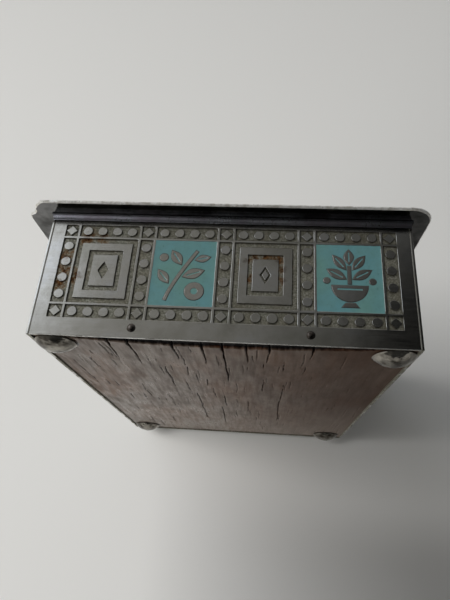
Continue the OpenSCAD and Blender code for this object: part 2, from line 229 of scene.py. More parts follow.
def enamel_glass():
    """Turquoise enamel, dulled by wear, bluer in places and greener in others."""
    s = Shader("enamel", Roughness=0.3, IOR=1.5, Coat_Weight=0.15, Coat_Roughness=0.2)
    drift = s.noise(14, 2, shift=4)
    cloud = s.noise(2.2, 5, shift=9)
    tone = s.ramp(drift, (0.36, (0.086, 0.205, 0.226)), (0.5, (0.090, 0.202, 0.206)),
                  (0.64, (0.096, 0.205, 0.186)))
    tone = s.mix(s.remap(cloud, 0.42, 0.7, 0, 0.45), tone, (0.075, 0.155, 0.150))
    tone = s.mix(s.remap(s.noise(0.6, 4, shift=1, rough=0.7), 0.58, 0.72, 0, 0.6), tone, (0.05, 0.10, 0.09))
    # Painted shade: darker in the corners of its cells
    tone = s.mix(s.remap(s.corner_shade(0.5), 0.9, 0.4, 0, 0.6), tone, (0.04, 0.10, 0.10))
    s.join("Base Color", tone)
    s.join("Roughness", s.remap(cloud, 0.3, 0.7, 0.42, 0.26))
    s.bump((cloud, 0.04, 0.5), (s.noise(0.4, 2), 0.015, 0.4))
    return s.material


def base_wood():
    """Dry, bare bottom wood: grey on the surface, dark red-brown in its pores and cracks."""
    s = Shader("base_wood", Specular_IOR_Level=0.45)
    grain = s.noise(0.5, 6, stretch=(1, 14, 1), rough=0.6)
    band = s.noise(4.5, 4, stretch=(1, 12, 1), shift=3)
    streak = s.noise(1.5, 4, stretch=(1, 9, 1), shift=21, rough=0.6)
    cloud = s.noise(22, 3, stretch=(1, 2.4, 1), shift=8)
    mottle = s.noise(5, 5, stretch=(1, 2, 1), shift=15, rough=0.65)
    pores = s.noise(0.28, 2, stretch=(1, 12, 1), shift=6)
    tone = s.ramp(grain, (0.3, (0.134, 0.104, 0.081)), (0.7, (0.170, 0.138, 0.110)))
    tone = s.mix(s.remap(band, 0.38, 0.66, 0, 0.4), tone, (0.110, 0.068, 0.050))
    tone = s.mix(s.remap(streak, 0.46, 0.66, 0, 0.55), tone, (0.072, 0.054, 0.046))
    tone = s.mix(s.remap(cloud, 0.48, 0.64, 0, 0.7), tone, (0.200, 0.104, 0.054))
    tone = s.mix(s.remap(mottle, 0.42, 0.66, 0, 0.6), tone, (0.062, 0.044, 0.034))
    # Darker towards the front: painted shade, and partly the wood's own darker heart. Paler towards the far
    # end: a painted sheen
    across, along, _ = s.node("SeparateXYZ", {0: s.place}).outputs
    shade_and_heartwood = s.math("ADD", s.remap(across, -0.015, 0.045), s.remap(cloud, 0.35, 0.65, -0.25, 0.25))
    tone = s.mix(s.remap(shade_and_heartwood, 0, 1, 0, 0.86), tone, (0.026, 0.011, 0.005))
    tone = s.mix(s.remap(along, -0.01, 0.07, 0, 0.5), tone, (0.27, 0.235, 0.205))
    tone = s.mix(s.remap(pores, 0.6, 0.7, 0, 0.5), tone, (0.03, 0.018, 0.015))
    # Cracks: dark red-brown walls, and black floors; darker the deeper they go, which is painted shade in
    # them
    inside = s.ramp(s.noise(9, 2, stretch=(1, 3, 1), shift=12), (0.5, (0.009, 0.004, 0.003)),
                    (0.66, (0.055, 0.018, 0.007)))
    depth = s.attribute("crack")
    tone = s.mix(s.remap(depth, 0.06, 0.5), tone, inside)
    tone = s.mix(s.remap(depth, 0.5, 0.75), tone, (0.003, 0.002, 0.002))
    s.join("Base Color", tone)
    # Polished by hands towards the hinge side, and dry elsewhere
    sheen = s.math("MULTIPLY", s.remap(across, -0.01, 0.05, 1, 0.1), s.remap(streak, 0.42, 0.66, 1, 0.5))
    sheen = s.math("MULTIPLY", sheen, s.remap(mottle, 0.4, 0.66, 1, 0.65))
    s.join("Roughness", s.remap(sheen, 0, 1, 0.74, 0.24))
    s.bump((band, 0.2, 0.25), (mottle, 0.2, 0.5), (grain, 0.015, 0.3), (pores, 0.03, 0.4))
    return s.material


def board_wood():
    """The planed wood of the walls, the inside and the lid: closer grain, reddish brown, oiled by use."""
    s = Shader("board_wood")
    grain = s.noise(0.5, 6, stretch=(24, 24, 1), rough=0.6)
    band = s.noise(5, 3, stretch=(10, 10, 1), shift=3)
    tone = s.ramp(grain, (0.3, (0.085, 0.040, 0.020)), (0.5, (0.165, 0.082, 0.042)),
                  (0.72, (0.26, 0.145, 0.080)))
    tone = s.mix(s.remap(band, 0.4, 0.65, 0, 0.5), tone, (0.10, 0.045, 0.022))
    # Painted shade: darker in the corners between the boards
    tone = s.mix(s.remap(s.corner_shade(3), 0.9, 0.4, 0, 0.6), tone, (0.035, 0.018, 0.010))
    s.join("Base Color", tone)
    s.join("Roughness", s.remap(grain, 0.3, 0.7, 0.55, 0.38))
    s.bump((grain, 0.10, 0.6), (band, 0.15, 0.4))
    return s.material


def plain_metal(name, low, high, roughness, stain_size=4.0, dirt_and_shade=(0.05, 0.045, 0.04), dirt_share=0.5,
                dent=0.1, metallic=1.0):
    """Metal between two tones, with stains, fine scratches and dirt, and painted shade darkening its corners.
    """
    s = Shader(name, Metallic=metallic)
    stain = s.noise(stain_size, 5, shift=2)
    fine = s.noise(0.5, 5, rough=0.65)
    tone = s.ramp(stain, (0.35, low), (0.62, high))
    tone = s.mix(s.remap(fine, 0.58, 0.74, 0, dirt_share), tone, dirt_and_shade)
    # Painted shade: its corners take the dark colour
    tone = s.mix(s.remap(s.corner_shade(0.6), 0.9, 0.35, 0, 0.85), tone, dirt_and_shade)
    s.join("Base Color", tone)
    s.join("Roughness", s.math("ADD", s.remap(stain, 0.3, 0.7, roughness[1], roughness[0]),
                               s.remap(fine, 0.35, 0.75, 0, 0.12)))
    s.bump((s.noise(3, 2, shift=5), dent, 0.5), (fine, 0.03, 0.5))
    return s.material


LAND = land_metal()
GROUND = ground_metal()
ENAMEL = enamel_glass()
BASE_WOOD = base_wood()
BOARD_WOOD = board_wood()
SEAM = plain_metal("seam_dirt", (0.020, 0.020, 0.018), (0.05, 0.05, 0.045), (0.5, 0.7), metallic=0.0)
FOOT = plain_metal("foot_metal", (0.04, 0.032, 0.024), (0.34, 0.32, 0.28), (0.05, 0.14), 3.0, dirt_share=0.7,
                   dent=0.45)
PIN = plain_metal("pin_metal", (0.05, 0.042, 0.038), (0.16, 0.14, 0.125), (0.14, 0.28))
BRASS = plain_metal("hinge_metal", (0.34, 0.24, 0.10), (0.58, 0.44, 0.20), (0.24, 0.4),
                    dirt_and_shade=(0.07, 0.05, 0.02))
SKIRT = plain_metal("skirt_metal", (0.56, 0.52, 0.60), (0.72, 0.75, 0.82), (0.22, 0.32), 7, dirt_share=0.25)
RIM = plain_metal("rim_metal", (0.60, 0.58, 0.53), (0.92, 0.92, 0.90), (0.22, 0.40), 1.6, dirt_share=0.85,
                  metallic=0.72)
# Painted highlight: a brighter metal for the near plate's lower edge
EDGE_HIGHLIGHT = plain_metal("edge_highlight_metal", (0.24, 0.235, 0.215), (0.66, 0.66, 0.64), (0.15, 0.3), 3.5)
# Dark: oxide on the lid sheet's underside, and painted shade under the lid's overhang
SHEET = plain_metal("sheet_metal", (0.055, 0.055, 0.052), (0.21, 0.21, 0.21), (0.03, 0.08), 7,
                    dirt_share=0.35)


# ---------- mesh helpers ----------

class Face:
    """A flat face of the object. On it x runs across, y up and z out, in mm, from one corner."""

    def __init__(self, corner, across, up):
        across, up = Vector(across), Vector(up)
        turn = Matrix((across, up, across.cross(up))).transposed().to_4x4()
        self.matrix = Matrix.Translation(corner) @ turn @ Matrix.Scale(MM, 4)


class Piece:
    """Gathers meshes into one object that rides on a body and stands for CAD nodes."""

    def __init__(self, name, body, slot, *stands_for):
        self.name, self.body, self.slot, self.stands_for = name, body, slot, stands_for
        self.bm = bmesh.new()
        self.materials = []

    def add(self, mesh, matrix, material):
        if material not in self.materials:
            self.materials.append(material)
        mesh.transform(matrix)
        start = len(self.bm.faces)
        self.bm.from_mesh(mesh)
        self.bm.faces.ensure_lookup_table()
        for face in self.bm.faces[start:]:
            face.material_index = self.materials.index(material)
        bpy.data.meshes.remove(mesh)

    def done(self, smooth_below=35):
        mesh = bpy.data.meshes.new(self.name)
        self.bm.to_mesh(mesh)
        self.bm.free()
        for material in self.materials:
            mesh.materials.append(material)
        mesh.shade_smooth()
        mesh.set_sharp_from_angle(angle=math.radians(smooth_below))
        made = bpy.data.objects.new(self.name, mesh)
        bpy.context.scene.collection.objects.link(made)
        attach(made, self.body)
        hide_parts(*self.stands_for)


def mesh_of(points, faces):
    mesh = bpy.data.meshes.new("part")
    mesh.from_pydata(points, [], faces)
    return mesh


def loop_sizes(loop):
    """The area inside a loop, and its length."""
    points = np.array(loop)
    after = np.roll(points, -1, 0)
    return (abs((points[:, 0] * after[:, 1] - after[:, 0] * points[:, 1]).sum()) / 2,
            np.hypot(*(after - points).T).sum())


FILL_TURNS = (0, 0.11, -0.17, 0.31, -0.43, 0.7, 1.1, -1.3)     # radians


def slab(loops, low, high, bevel=0.1, grow=0.0):
    """A flat slab between two heights: the first loop is its outline, and the others are holes in it.

    The fill can close a hole by mistake, so it is done again at another turn until its top's area is right.
    """
    sizes = [loop_sizes(loop) for loop in loops]
    edges = sum(length for _, length in sizes)
    wanted = 2 * sizes[0][0] - sum(area for area, _ in sizes) + (grow - bevel) * edges
    best = None
    for turn in FILL_TURNS:
        curve = bpy.data.curves.new("slab", "CURVE")
        curve.dimensions = "2D"
        curve.fill_mode = "BOTH"
        curve.extrude = (high - low) / 2 - bevel
        curve.bevel_depth = bevel
        curve.bevel_resolution = 1
        curve.offset = grow - bevel
        spin = Matrix.Rotation(turn, 4, "Z")
        for loop in loops:
            spline = curve.splines.new("POLY")
            spline.points.add(len(loop) - 1)
            spline.points.foreach_set("co", [c for x, y in loop for c in (*(spin @ Vector((x, y, 0))), 1)])
            spline.use_cyclic_u = True
        holder = bpy.data.objects.new("slab", curve)
        mesh = bpy.data.meshes.new_from_object(holder)
        bpy.data.objects.remove(holder)
        bpy.data.curves.remove(curve)
        top = sum(f.area for f in mesh.polygons if f.normal.z > 0.99 and f.center.z > 0)
        error = abs(top - wanted)
        if best is None or error < best[0]:
            best = (error, spin, mesh)
        if error < 0.6 + 0.04 * bevel * edges:
            break
    best[2].transform(Matrix.Translation((0, 0, (low + high) / 2)) @ best[1].inverted())
    return best[2]


def height_block(xs, ys, tops, bottom):
    """A closed block: tops[j, i] are the points of its upper face, and its underside is flat."""
    columns, rows = len(xs), len(ys)
    points = [tuple(p) for row in tops for p in row]
    faces = [(j * columns + i, j * columns + i + 1, (j + 1) * columns + i + 1, (j + 1) * columns + i)
             for j in range(rows - 1) for i in range(columns - 1)]
    rim = ([i for i in range(columns)] + [j * columns + columns - 1 for j in range(1, rows)]
           + [(rows - 1) * columns + i for i in range(columns - 2, -1, -1)]
           + [j * columns for j in range(rows - 2, 0, -1)])
    start = len(points)
    points += [(points[k][0], points[k][1], bottom) for k in rim]
    count = len(rim)
    for k in range(count):
        after = (k + 1) % count
        faces.append((rim[after], rim[k], start + k, start + after))
    faces.append(tuple(start + k for k in reversed(range(count))))
    return mesh_of(points, faces)


def lathe(profile, turns, wobble=None):
    """A solid of revolution about z. The profile's points are (radius, height), from the axis and back."""
    points, rings = [], []
    for radius, height in profile:
        if radius < 1e-6:
            rings.append([len(points)])
            points.append((0, 0, height))
            continue
        ring = []
        for k in range(turns):
            angle = 2 * math.pi * k / turns
            ring.append(len(points))
            points.append((radius * math.cos(angle), radius * math.sin(angle), height))
        rings.append(ring)
    if wobble:
        points = [wobble(Vector(p)) for p in points]
    faces = []
    for a, b in zip(rings, rings[1:]):
        for k in range(turns):
            after = (k + 1) % turns
            quad = [a[k % len(a)], a[after % len(a)], b[after % len(b)], b[k % len(b)]]
            faces.append(tuple(dict.fromkeys(quad)))
    return mesh_of(points, faces)


# ---------- outlines, in mm ----------

def rectangle(x0, y0, x1, y1):
    return [(x0, y0), (x1, y0), (x1, y1), (x0, y1)]


def round_loop(x, y, radius, count=20):
    return [(x + radius * math.cos(2 * math.pi * k / count), y + radius * math.sin(2 * math.pi * k / count))
            for k in range(count)]


def worn(loop, seed, step=0.8, amount=0.06, grain=1.1):
    """The loop in short steps, each moved a little, as hand-cut and worn edges are."""
    out = []
    for (x0, y0), (x1, y1) in zip(loop, loop[1:] + loop[:1]):
        count = max(1, round(math.hypot(x1 - x0, y1 - y0) / step))
        for k in range(count):
            x, y = x0 + (x1 - x0) * k / count, y0 + (y1 - y0) * k / count
            shift = noise.noise_vector(Vector((x / grain, y / grain, seed * 3.7)))
            out.append((x + amount * shift.x, y + amount * shift.y))
    return out


def ribbon(path, width):
    """A band of even width along a path."""
    path = [Vector(p) for p in path]
    sides = [(after - before).orthogonal().normalized() * width / 2
             for before, after in zip(path[:1] + path, path[1:] + path[-1:])]
    pairs = list(zip(path, sides))
    return [tuple(p + side) for p, side in pairs] + [tuple(p - side) for p, side in reversed(pairs)]


def leaf(x, y, length, width, degrees):
    """A pointed leaf from its base, with its vein as a hole."""
    half = [(k / 10, math.sin(math.pi * k / 10) / 2) for k in range(11)]
    outline = [(length * t, -width * w) for t, w in half]
    outline += [(length * t, width * w) for t, w in half[-2:0:-1]]
    vein = ribbon([(length * 0.2, 0), (length * 0.8, 0)], 0.3)
    cos, sin = math.cos(math.radians(degrees)), math.sin(math.radians(degrees))
    return [[(x + u * cos - v * sin, y + u * sin + v * cos) for u, v in loop] for loop in (outline, vein)]


def sprig_motif():
    """A bent stem with four leaves and two berries. Each is its outline and then its holes."""
    stem = ribbon([(4.2 + 7.6 * t, 1.6 + 15 * t ** 0.8) for t in np.linspace(0, 1, 12)], 0.9)
    return [[stem], leaf(4.8, 6.5, 5.2, 2.6, 128), leaf(7.8, 12.2, 5.4, 2.8, 124),
            leaf(8.3, 8.6, 6.2, 3.0, 20), leaf(11.3, 13.8, 4.4, 2.2, 14),
            [round_loop(11.8, 4.4, 2.6, 28), round_loop(11.8, 4.4, 0.9, 14)],
            [round_loop(2.8, 14.4, 1.2, 16)]]


def bowl_motif():
    """A round bowl on a foot, with a five-leaved plant and two seeds."""
    middle, rim, radius = 8.45, 7.6, 4.7
    bowl = [(middle + radius * math.cos(math.radians(a)), rim + radius * math.sin(math.radians(a)))
            for a in range(180, 361, 10)]
    parts = [[bowl, ribbon([(middle - 3.2, 6.5), (middle + 3.2, 6.5)], 0.4)],
             [ribbon([(middle, 8.0), (middle, 13.4)], 0.9)], leaf(middle, 13.8, 4.6, 2.6, 90),
             [[(middle - 2.2, 1.3), (middle + 2.2, 1.3), (middle + 1.2, 2.6), (middle - 1.2, 2.6)]]]
    for side in (-1, 1):
        parts += [leaf(middle + side * 0.8, 9.4, 5.8, 2.6, 90 - side * 60),
                  leaf(middle + side * 0.8, 12.2, 5.6, 2.4, 90 - side * 38),
                  [round_loop(middle + side * 5.9, 8.9, 0.9, 14)]]
    return parts


MOTIFS = (sprig_motif(), bowl_motif())
MOTIF_CELL = (16.9, 19.7)    # the panel that they are drawn in


# ---------- ornament ----------

class Ornament:
    """The grid of strips and panels on a face: its sunk cells, the islands in them, and its enamel panels."""

    def __init__(self, corner, field, grid, seed):
        self.cells, self.islands, self.motifs, self.enamel = [], [], [], []
        self.corner, self.grid, self.seed = corner, grid, seed
        self.pitch = [(field[a] - STRIP) / grid[a] for a in (0, 1)]
        size = self.panel = [p - STRIP - 2 * LINE for p in self.pitch]
        columns, rows = grid
        for i in range(columns + 1):
            for j in range(rows + 1):
                x, y = self.at(i, j)
                self.cell(x, y, STRIP, STRIP)
                self.island([[(x + STRIP / 2 + a, y + STRIP / 2 + b)
                              for a, b in ((-DIAMOND, 0), (0, -DIAMOND), (DIAMOND, 0), (0, DIAMOND))]])
                if i < columns:
                    self.cell(x + STRIP + LINE, y, size[0], STRIP)
                    self.discs(x + STRIP + LINE, y + STRIP / 2, size[0], 0)
                if j < rows:
                    self.cell(x, y + STRIP + LINE, STRIP, size[1])
                    self.discs(x + STRIP / 2, y + STRIP + LINE, 0, size[1])
                if i < columns and j < rows:
                    self.fill_panel(i, j, x + STRIP + LINE, y + STRIP + LINE)

    def at(self, i, j):
        return self.corner[0] + self.pitch[0] * i, self.corner[1] + self.pitch[1] * j

    def next_seed(self):
        self.seed += 1
        return self.seed

    def cell(self, x, y, width, height):
        self.cells.append(worn(rectangle(x, y, x + width, y + height), self.next_seed(), 0.9, 0.07))

    def island(self, loops, amount=0.09, step=0.5):
        self.islands.append([worn(loop, self.next_seed(), step, amount) for loop in loops])

    def discs(self, x, y, across, up):
        for k in range(DISCS_PER_CELL):
            share = (k + 0.5) / DISCS_PER_CELL
            self.island([round_loop(x + across * share, y + up * share, DISC)], 0.14, 9)

    def fill_panel(self, i, j, x, y):
        width, height = self.panel
        self.cell(x, y, width, height)
        if (i + j) % 2 == 1:
            self.enamel.append((x, y, width, height))
            for loops in MOTIFS[(i // 2 + j) % 2]:
                self.motifs.append([[(x + a * width / MOTIF_CELL[0], y + b * height / MOTIF_CELL[1])
                                     for a, b in loop] for loop in loops])
            return

        def inset(d):
            return rectangle(x + d, y + d, x + width - d, y + height - d)

        def lozenge(share):
            return [(x + width / 2 + a * LOZENGE[0] * share, y + height / 2 + b * LOZENGE[1] * share)
                    for a, b in ((-1, 0), (0, -1), (1, 0), (0, 1))]

        self.island([inset(RING_INSET), inset(RING_INSET + RING_WIDTH)], step=0.9)
        self.island([inset(RING_INSET + RING_WIDTH + GROOVE), lozenge(1)], step=0.9)
        if (i // 2 + j) % 2 == 1:
            self.island([lozenge(0.6)], 0.03)

    def relief(self, piece, face, outline, back):
        """The plate: a solid back, the land with its sunk cells, and the islands."""
        corners = np.array(outline[0])
        backing = rectangle(*(corners.min(0) + 0.1), *(corners.max(0) - 0.1))
        piece.add(slab([backing], back, -ETCH, HIDDEN_BEVEL), face.matrix, GROUND)
        piece.add(slab(outline + self.cells, back + 0.02, 0), face.matrix, LAND)
        self.raised(piece, face)

    def raised(self, piece, face):
        """The islands, and the enamel's motifs, each in a dark seam."""
        for loops in self.islands + self.motifs:
            piece.add(slab(loops, -ROOT, 0, 0.07), face.matrix, LAND)
        for loops in self.motifs:
            piece.add(slab(loops, -ROOT, -0.05, 0.02, SEAM_WIDTH), face.matrix, SEAM)

    def pads(self, piece, face, step=0.6):
        """The enamel: a pad in each enamelled cell, higher at its edges, and one in each motif's holes."""
        for x, y, width, height in self.enamel:
            nx, ny = round(width / step) + 1, round(height / step) + 1
            us, vs = np.linspace(0, 1, nx), np.linspace(0, 1, ny)
            tops = np.zeros((ny, nx, 3))
            for j, v in enumerate(vs):
                for i, u in enumerate(us):
                    px, py = x - 0.05 + u * (width + 0.1), y - 0.05 + v * (height + 0.1)
                    edge = min(u * width, (1 - u) * width, v * height, (1 - v) * height)
                    wave = 0.025 * noise.noise(Vector((px / 2.4, py / 2.4, self.seed)))
                    tops[j, i] = px, py, 0.05 * math.exp(-edge / 0.4) + wave - ENAMEL_SUNK
            piece.add(height_block(us, vs, tops, -ROOT), face.matrix, ENAMEL)
        for hole in [hole for loops in self.motifs for hole in loops[1:]]:
            piece.add(slab([hole], -ETCH, -0.03, HIDDEN_BEVEL), face.matrix, ENAMEL)


def pin_heads(piece, face, places, seed):
    """Round pin heads, each a little out of true, standing on the face."""
    radius, height = PIN_HEAD
    for k, (x, y) in enumerate(places):
        profile = [(0, height)] + [(radius * math.sin(a), height * math.cos(a)) for a in
                                   (0.3, 0.6, 0.9, 1.15, 1.35, 1.5)] + [(radius, -0.15), (0, -0.15)]

        def wobble(p):
            shift = noise.noise_vector(Vector((p.x, p.y, p.z + 9 * k + seed)))
            return p + shift * 0.06

        piece.add(lathe(profile, 24, wobble), face.matrix @ Matrix.Translation((x, y, 0)), PIN)


# ---------- walls ----------

def wall(name, pins, grid, seed):
    """A wall's plate, its enamel and its pins."""
    low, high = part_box(name + "_plate")
    corners = {"near": ((low.x, low.y, low.z), (1, 0, 0)), "far": ((high.x, high.y, low.z), (-1, 0, 0)),
               "front": ((high.x, low.y, low.z), (0, 1, 0)), "hinge": ((low.x, high.y, low.z), (0, -1, 0))}
    corner, across = corners[name]
    face = Face(corner, across, (0, 0, 1))
    length = max(high.x - low.x, high.y - low.y) / MM
    height = (high.z - low.z) / MM
    edge = SIDE_MARGIN - (PLATE if name in ("near", "far") else 0)
    field = (length - 2 * edge, height + 0.05 - BOTTOM_MARGIN - TOP_MARGIN)
    ornament = Ornament((edge, BOTTOM_MARGIN), field, grid, seed)
    outline = rectangle(0, 0, length, height)
    if name == "hinge":
        outline = [(0, 0), (length, 0), (length, height)]
        for middle in (length / 2 + HINGE_MIDDLE, length / 2 - HINGE_MIDDLE):
            for x, y in ((HINGE_HALF, height), (HINGE_HALF, height - LEAF), (-HINGE_HALF, height - LEAF),
                         (-HINGE_HALF, height)):
                outline.append((middle + x, y))
        outline.append((0, height))
    plate = Piece(name + "_relief", "box", "plate_metal", name + "_plate")
    ornament.relief(plate, face, [worn(outline, seed + 500, 1.5, 0.05, 4)], -PLATE)
    # The plate's lower edge: on the near wall a brighter metal strip, a painted highlight
    back, metal = (-0.5, EDGE_HIGHLIGHT) if name == "near" else (-PLATE, GROUND)
    edging = worn(rectangle(0.02, -0.01, length - 0.02, 0.11), seed + 600, 0.8, 0.04)
    plate.add(slab([edging], back, 0.012, 0.04), face.matrix, metal)
    plate.done()
    enamel = Piece(name + "_enamel_pads", "box", "enamel", name + "_enamel")
    ornament.pads(enamel, face)
    enamel.done()
    heads = Piece(name + "_pin_heads", "box", "pin_metal", name + "_plate_pins")
    pin_heads(heads, face, [(length / 2 + x, PIN_HEIGHT) for x in pins], seed)
    heads.done()


wall("near", END_PINS, (4, 1), 1000)
wall("far", END_PINS, (4, 1), 2000)
wall("front", SIDE_PINS, (5, 1), 3000)
wall("hinge", SIDE_PINS, (5, 1), 4000)


# ---------- lid ----------

def lid_outline(width, length):
    """The lid plate's outline: three round corners, and one bitten by wear."""
    r = LID_CORNER
    out = [(6.5, 0)]
    for x, y, start in ((width - r, r, -90), (width - r, length - r, 0), (r, length - r, 90)):
        out += [(x + r * math.cos(math.radians(start + a)), y + r * math.sin(math.radians(start + a)))
                for a in range(0, 91, 9)]
    return out + [(0, 8), (0.4, 6.3), (1.9, 5.5), (2.8, 4.4), (3.0, 2.9), (4.2, 1.4), (5.6, 0.3)]


def rolled_edge(loop, radius, height, seed):
    """A bead along a loop: the rounded, chipped edge of the lid plate."""
    path = worn(loop, seed, 0.7, 0.04, 2.5)
    around, points, faces, count = 10, [], [], len(path)
    for k, (x, y) in enumerate(path):
        before, after = Vector(path[k - 1]), Vector(path[(k + 1) % count])
        along = (after - before).normalized()
        out = Vector((along.y, -along.x))
        for a in range(around):
            angle = 2 * math.pi * a / around
            chip = 1 + 0.13 * noise.noise(Vector((x / 0.8, y / 0.8, seed + math.cos(angle))))
            reach = radius * min(1.0, chip)
            side = reach * math.cos(angle) - radius
            points.append((x + out.x * side, y + out.y * side, height + reach * math.sin(angle)))
    for k in range(count):
        for a in range(around):
            b, n = (a + 1) % around, (k + 1) % count
            faces.append((k * around + a, n * around + a, n * around + b, k * around + b))
    return mesh_of(points, faces)


def lid():
    """The lid's plate with its rolled edge, its enamel and its pins."""
    low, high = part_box("lid_plate")
    face = Face((low.x, low.y, high.z), (1, 0, 0), (0, 1, 0))
    width, length = (high.x - low.x) / MM, (high.y - low.y) / MM
    field = (width - 2 * LID_MARGIN[0], length - 2 * LID_MARGIN[1])
    ornament = Ornament(LID_MARGIN, field, (4, 5), 6000)
    outline = lid_outline(width, length)
    middle = Vector((width / 2, length / 2))
    inner = [tuple(middle + (Vector(p) - middle) * 0.994) for p in outline]
    plate = Piece("lid_relief", "lid", "plate_metal", "lid_plate")
    x0, y0 = LID_MARGIN
    ground = rectangle(x0 - 1, y0 - 1, width - x0 + 1, length - y0 + 1)
    plate.add(slab([inner], -LID_SHEET, -LID_SHEET_TOP, 0.05), face.matrix, SHEET)
    plate.add(slab([ground], -LID_GROUND, -ETCH, HIDDEN_BEVEL), face.matrix, GROUND)
    plate.add(slab([inner] + ornament.cells, -LID_LAND, 0), face.matrix, LAND)
    ornament.raised(plate, face)
    plate.add(rolled_edge(outline, LID_SHEET / 2, -LID_SHEET / 2, 6900), face.matrix, RIM)
    plate.done()
    enamel = Piece("lid_enamel_pads", "lid", "enamel", "lid_enamel")
    ornament.pads(enamel, face, 0.9)
    enamel.done()
    heads = Piece("lid_pin_heads", "lid", "pin_metal", "lid_plate_pins")
    places = [ornament.at(i, j) for i, j in LID_PIN_CELLS]
    pin_heads(heads, face, [(x + STRIP / 2, y + STRIP / 2) for x, y in places], 6950)
    heads.done()


lid()


# The skirt's section: its foot's distance from the wall, lip, steps up its height, bead and depth
SKIRT_FOOT = 0.03
SKIRT_LIP = ((0, 0), (0.012, -0.09))
SKIRT_SHARES = (0, 0.1, 0.25, 0.4, 0.55, 0.7, 0.82, 0.92)
BEAD_ANGLES, BEAD_REACH, BEAD_HEIGHT = (-50, -10, 30, 70, 90), 0.2, 0.22
SKIRT_BACK = 0.7


def skirt():
    """The band under the lid plate: it leans out, is a little wavy, and ends in a thin bead at its top."""
    low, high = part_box("near_skirt")
    left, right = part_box("hinge_plate")[0].x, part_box("front_plate")[1].x
    half_w, half_l = (right - left) / 2 / MM, -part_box("near_plate")[0].y / MM
    middle_x = (right + left) / 2
    height, lean = (high.z - low.z) / MM, -low.y / MM - half_l
    face = Face((middle_x, 0, low.z), (1, 0, 0), (0, 1, 0))
    points, faces, rings = [], [], []
    corners = [(-half_w, -half_l), (half_w, -half_l), (half_w, half_l), (-half_w, half_l)]
    for side, (start, end) in enumerate(zip(corners, corners[1:] + corners[:1])):
        start, end = Vector(start), Vector(end)
        along, length = (end - start).normalized(), (end - start).length
        out = Vector((along.y, -along.x))
        stops = list(np.linspace(0, length, round(length / 1.5) + 1))[:-1]
        hinges = (length / 2 - HINGE_MIDDLE, length / 2 + HINGE_MIDDLE) if side == 3 else ()
        for place in hinges:
            stops += [place + sign * (HINGE_HALF + extra) for sign in (-1, 1) for extra in (0.15, 0.25)]
        for stop in sorted(stops):
            at_leaf = any(abs(stop - place) < HINGE_HALF + 0.2 for place in hinges)
            foot_z = LEAF + 0.1 if at_leaf else 0.0
            spot = start + along * stop
            mitre = (out - along) if stop == 0 else out
            ring = [(*(spot + mitre * reach), foot_z + z * (not at_leaf)) for reach, z in SKIRT_LIP]
            for share in SKIRT_SHARES:
                z = foot_z + (height - foot_z) * share
                wave = 0.07 * noise.noise(Vector((spot.x / 5, spot.y / 5, share * 2)))
                reach = SKIRT_FOOT + (lean - SKIRT_FOOT) * share ** 2 - abs(wave) * math.sin(math.pi * share)
                ring.append((*(spot + mitre * reach), z))
            for angle in BEAD_ANGLES:
                reach = lean * 0.92 - 0.06 + BEAD_REACH * math.cos(math.radians(angle))
                z = height - BEAD_HEIGHT + BEAD_HEIGHT * math.sin(math.radians(angle))
                ring.append((*(spot + mitre * reach), z))
            ring += [(*(spot - mitre * SKIRT_BACK), height), (*(spot - mitre * SKIRT_BACK), foot_z)]
            rings.append(range(len(points), len(points) + len(ring)))
            points += ring
    for a, b in zip(rings, rings[1:] + rings[:1]):
        for k in range(len(a)):
            n = (k + 1) % len(a)
            faces.append((a[k], b[k], b[n], a[n]))
    band = Piece("skirt_band", "lid", "plate_metal", "near_skirt", "far_skirt", "hinge_skirt", "front_skirt")
    band.add(mesh_of(points, faces), face.matrix, SKIRT)
    band.done(30)


skirt()


# ---------- cracked bottom board ----------

# The wide cracks, in mm: distance from the hinge side and from the near end, length, half width
CRACKS = [(32, 21, 27, 0.42), (38.5, 49, 54, 0.38), (38.5, 19, 14, 0.30), (46, 73, 36, 0.38),
          (48, 53, 21, 0.30), (50.5, 0, 38, 0.50), (56.5, 62, 21, 0.32), (61.5, 31, 17, 0.36),
          (68, 36, 66, 0.45), (20.5, 43, 28, 0.26), (18, 56, 25, 0.24), (13, 56, 15, 0.22),
          (8.7, 37, 16, 0.22), (43.5, 35, 9, 0.26), (45, 0, 21, 0.40), (25.5, 0, 22, 0.40),
          (20, 0, 18, 0.32), (10.7, 14, 12, 0.22), (13, 10, 7, 0.20), (37.3, 0, 17, 0.40),
          (30.5, 15, 4, 0.24), (56.7, 0, 17, 0.36), (62.7, 0, 17, 0.34), (67.3, 13, 10, 0.26),
          (74, 0, 13, 0.24)]
FINE_CRACKS = 150
WIDE_DEPTH, FINE_DEPTH = 1.3, 0.55
THINNEST = 0.16    # half the width of the thinnest crack that the grid can show
SHRINK_GAP = 2.2    # between the board and the near plate, at its widest


